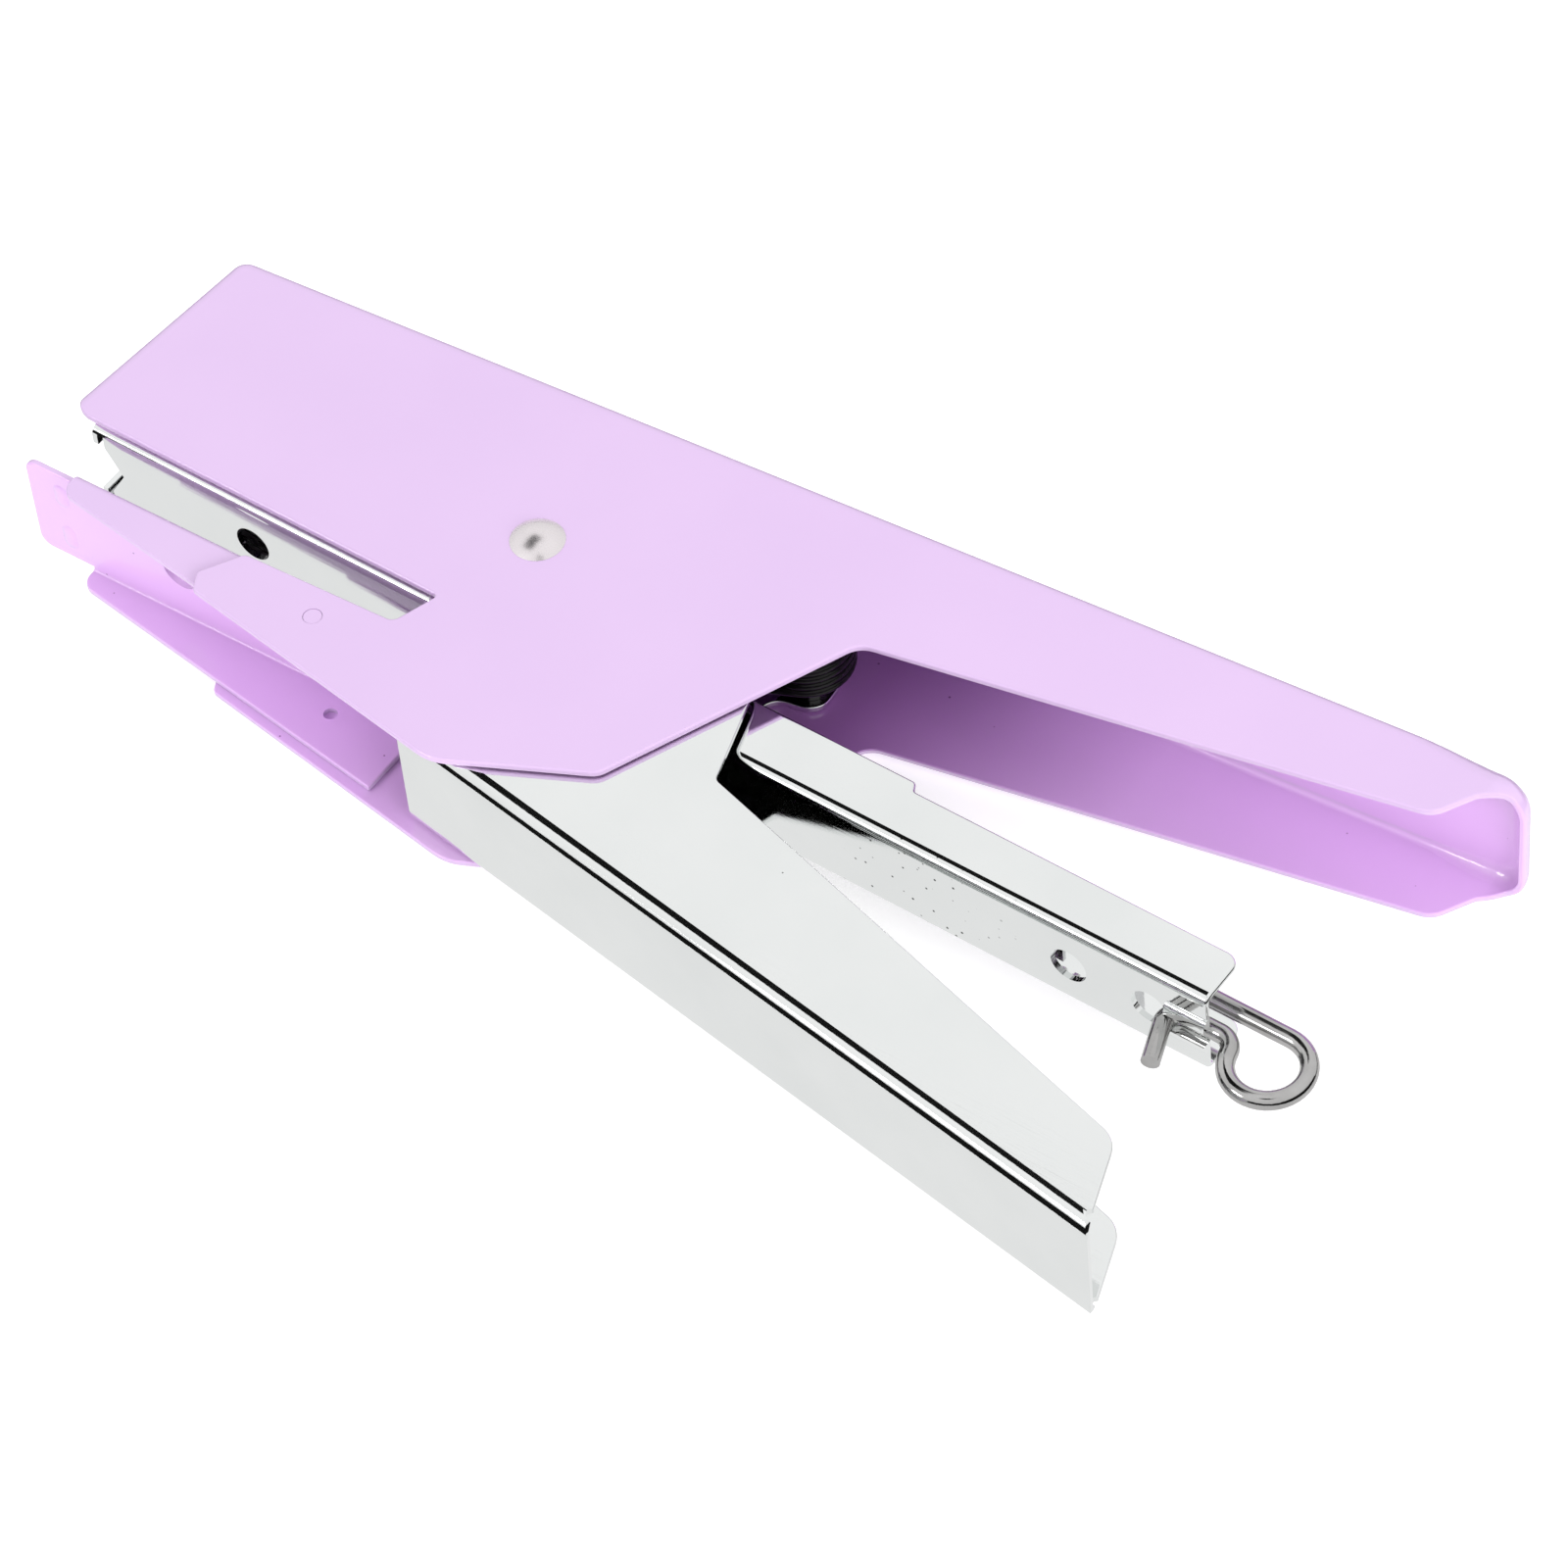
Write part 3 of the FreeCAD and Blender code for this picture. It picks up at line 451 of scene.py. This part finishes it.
def return_spring(materials):
    """Torsion spring wound round its post, with its upper leg under the spine."""
    post_low, post_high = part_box("spring_post")
    post = centre_of("spring_post")
    spring_low, spring_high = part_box("return_spring")
    coil_r = (post_high.y - post_low.y) / 2 + COIL_GAP + RETURN_WIRE_R
    upper_tip = (Vector((spring_low.x, spring_high.y)) + UPPER_TIP_INSET).to_3d()
    lower_tip = (Vector((spring_low.x, spring_low.y)) + LOWER_TIP_INSET).to_3d()
    start = tangent_angle(post, upper_tip, coil_r, -1)
    end = tangent_angle(post, lower_tip, coil_r, 1)
    sweep = start - end + 2 * math.pi * RETURN_TURNS
    turns = sweep / (2 * math.pi)
    top = post.z + turns * RETURN_PITCH / 2
    steps = int(turns * STEPS_PER_TURN)
    coil = []
    for i in range(steps + 1):
        share = i / steps
        angle = start - sweep * share
        height = top - turns * RETURN_PITCH * share
        coil.append(Vector((post.x + coil_r * math.cos(angle), post.y + coil_r * math.sin(angle), height)))
    upper_tip.z = coil[0].z
    lower_tip.z = coil[-1].z
    upper = [upper_tip.lerp(coil[0], i / LEG_STEPS) for i in range(LEG_STEPS)]
    lower = [coil[-1].lerp(lower_tip, (i + 1) / LEG_STEPS) for i in range(LEG_STEPS)]
    piece = wire_mesh("wound_return_spring", upper + coil + lower, RETURN_WIRE_R, sides=16)
    piece.data.materials.append(materials["black_spring_steel"])
    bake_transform(piece)
    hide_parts("return_spring")


def feed_spring(materials):
    """Long compression spring on the feed rod, with closed coils at both ends."""
    low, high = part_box("feed_spring")
    axis = centre_of("feed_spring")
    coil_r = (high.y - low.y) / 2 - FEED_WIRE_R
    closed = FEED_CLOSED_COILS * 2 * FEED_WIRE_R * FEED_CLOSED_PITCH
    open_length = (high.x - low.x) - 2 * FEED_WIRE_R - 2 * closed
    open_turns = FEED_COILS - 2 * FEED_CLOSED_COILS
    route = []
    for i in range(FEED_COILS * FEED_STEPS_PER_TURN + 1):
        turn = i / FEED_STEPS_PER_TURN
        in_front = min(turn, FEED_CLOSED_COILS) / FEED_CLOSED_COILS * closed
        in_middle = min(max(turn - FEED_CLOSED_COILS, 0), open_turns) / open_turns * open_length
        in_rear = max(turn - FEED_CLOSED_COILS - open_turns, 0) / FEED_CLOSED_COILS * closed
        x = low.x + FEED_WIRE_R + in_front + in_middle + in_rear
        angle = 2 * math.pi * turn
        route.append(Vector((x, axis.y + coil_r * math.cos(angle), axis.z + coil_r * math.sin(angle))))
    piece = wire_mesh("wound_feed_spring", route, FEED_WIRE_R, sides=6)
    piece.data.materials.append(materials["steel_wire"])
    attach(piece, "feed")
    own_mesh(piece)
    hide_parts("feed_spring")


# ---------------------------------------------------------------- studio

def rectangle(x_low, x_high, y_low, y_high, z):
    """Corners of a level rectangle."""
    plan = ((x_low, y_low), (x_high, y_low), (x_high, y_high), (x_low, y_high))
    return [Vector((x, y, z)) for x, y in plan]


def make_floor():
    """Plain pale floor that the stapler lies on."""
    shape = bmesh.new()
    corners = rectangle(-FLOOR_HALF, FLOOR_HALF, -FLOOR_HALF, FLOOR_HALF, cad_bounds[0].z)
    shape.faces.new([shape.verts.new(corner) for corner in corners])
    mesh = finished_mesh("floor", shape)
    floor = add_object("floor", mesh)
    material, tree, shader = new_material("floor")
    drift = noise(tree, object_coordinates(tree), scale=3.0)
    tone = ramp(tree, drift, [(0.0, grey(0.80)), (1.0, grey(0.82))])
    tree.links.new(tone, shader.inputs["Base Color"])
    shader.inputs["Roughness"].default_value = 0.9
    shader.inputs["Specular IOR Level"].default_value = 0.1
    shader.inputs["Emission Color"].default_value = (1.0, 1.0, 1.0, 1.0)
    shader.inputs["Emission Strength"].default_value = 0.45
    mesh.materials.append(material)


def direction(azimuth, elevation):
    """Unit vector towards a place in the studio; azimuth 0 is in front of the object, at -Y."""
    level = math.cos(elevation)
    return Vector((math.sin(azimuth) * level, -math.cos(azimuth) * level, math.sin(elevation)))


def area_light(name, azimuth, elevation, distance, width, height, power, in_gloss=False):
    """Softbox aimed at the middle of the picture; bright metal shows it only where in_gloss is true."""
    light = bpy.data.lights.new(name, "AREA")
    light.shape = "RECTANGLE"
    light.size = width
    light.size_y = height
    light.energy = power
    lamp = add_object(name, light)
    back = direction(math.radians(azimuth), math.radians(elevation))
    lamp.location = TARGET + back * distance
    lamp.rotation_euler = back.to_track_quat("Z", "Y").to_euler()
    lamp.visible_glossy = in_gloss


def make_lights():
    """A key light high at the back, a large fill past the handles' ends and a small one near the nose."""
    area_light("key", azimuth=-150.0, elevation=62.0, distance=1.6, width=1.6, height=1.2, power=5.5)
    area_light("front_fill", azimuth=75.0, elevation=25.0, distance=1.2, width=0.9, height=0.6, power=9.0)
    area_light(
        "nose_fill", azimuth=-28.0, elevation=29.0, distance=1.2, width=0.40, height=0.22, power=3.0,
        in_gloss=True)


def card(name, faces, glow):
    """Card that only shows as a reflection; faces are lists of corners, and glow 0 is black."""
    shape = bmesh.new()
    for corners in faces:
        shape.faces.new([shape.verts.new(corner) for corner in corners])
    mesh = finished_mesh(name, shape)
    piece = add_object(name, mesh)
    material, _, shader = new_material(name)
    shader.inputs["Base Color"].default_value = (0.005, 0.005, 0.005, 1.0)
    shader.inputs["Roughness"].default_value = 1.0
    shader.inputs["Specular IOR Level"].default_value = 0.0
    shader.inputs["Emission Color"].default_value = (1.0, 1.0, 1.0, 1.0)
    shader.inputs["Emission Strength"].default_value = glow
    mesh.materials.append(material)
    piece.visible_camera = False
    piece.visible_diffuse = False
    piece.visible_shadow = False
    piece.visible_transmission = False


def dark_surround():
    """The dim room past the edge of the table, seen low down all round, and the floor within it."""
    floor_z = cad_bounds[0].z
    near_plan = (cad_bounds[0].x - SURROUND_MARGIN, cad_bounds[1].x + SURROUND_MARGIN,
                 cad_bounds[0].y - SURROUND_MARGIN, cad_bounds[1].y + SURROUND_MARGIN)
    near = rectangle(*near_plan, floor_z + CARD_LIFT)
    far = rectangle(-SURROUND_REACH, SURROUND_REACH, -SURROUND_REACH, SURROUND_REACH, floor_z + CARD_LIFT)
    faces = []
    for i, height in enumerate((FRONT_HEIGHT, FRONT_HEIGHT, BACK_HEIGHT, BACK_HEIGHT)):
        following = (i + 1) % 4
        rise = Vector((0.0, 0.0, height))
        faces.append([near[i], near[following], far[following], far[i]])
        faces.append([far[i], far[following], far[following] + rise, far[i] + rise])
    card("dark_surround", faces, glow=0.0)
    card("floor_seen_in_gloss", [rectangle(*near_plan, floor_z + GLOSS_FLOOR_LIFT)], glow=FLOOR_IN_GLOSS)


def dark_overhead():
    """The gap between two overhead softboxes, and the dark rig that hangs above the lens."""
    card("overhead_gap", [rectangle(*GAP_X, *GAP_Y, GAP_Z)], glow=0.0)
    rig = direction(RIG_AZIMUTH, RIG_ELEVATION) * RIG_DISTANCE
    corners = rectangle(rig.x - RIG_HALF_X, rig.x + RIG_HALF_X, rig.y - RIG_HALF_Y, rig.y + RIG_HALF_Y, rig.z)
    card("camera_rig", [corners], glow=0.0)


def make_world(side, overhead):
    """White dome, a little brighter overhead than at the sides."""
    world = bpy.data.worlds.new("studio")
    bpy.context.scene.world = world
    world.use_nodes = True
    tree = world.node_tree
    source = tree.nodes.new("ShaderNodeTexCoord")
    tone = map_range(tree, axes(tree, source.outputs["Generated"])["Z"], 0.0, 1.0, side, overhead)
    background = tree.nodes["Background"]
    background.inputs["Color"].default_value = (1.0, 1.0, 1.0, 1.0)
    tree.links.new(tone, background.inputs["Strength"])


def make_camera():
    """Camera that looks at TARGET, rolled about the line of sight."""
    back = direction(CAMERA_AZIMUTH, CAMERA_ELEVATION)
    level_right = Vector((math.cos(CAMERA_AZIMUTH), math.sin(CAMERA_AZIMUTH), 0.0))
    level_up = back.cross(level_right)
    right = level_right * math.cos(CAMERA_ROLL) + level_up * math.sin(CAMERA_ROLL)
    up = back.cross(right)
    place = TARGET + back * CAMERA_DISTANCE
    data = bpy.data.cameras.new("camera")
    data.lens = CAMERA_LENS
    data.sensor_width = SENSOR_WIDTH
    data.clip_start = CLIP_NEAR
    data.clip_end = CLIP_FAR
    camera = add_object("camera", data)
    turn = Matrix((right, up, back)).transposed().to_4x4()
    camera.matrix_world = Matrix.Translation(place) @ turn
    bpy.context.scene.camera = camera


def main():
    bpy.context.scene.view_settings.view_transform = "Standard"
    materials = make_materials()
    paint_frame(materials)
    return_spring(materials)
    feed_spring(materials)
    make_floor()
    dark_surround()
    dark_overhead()
    make_world(side=0.84, overhead=0.99)
    make_lights()
    make_camera()


main()
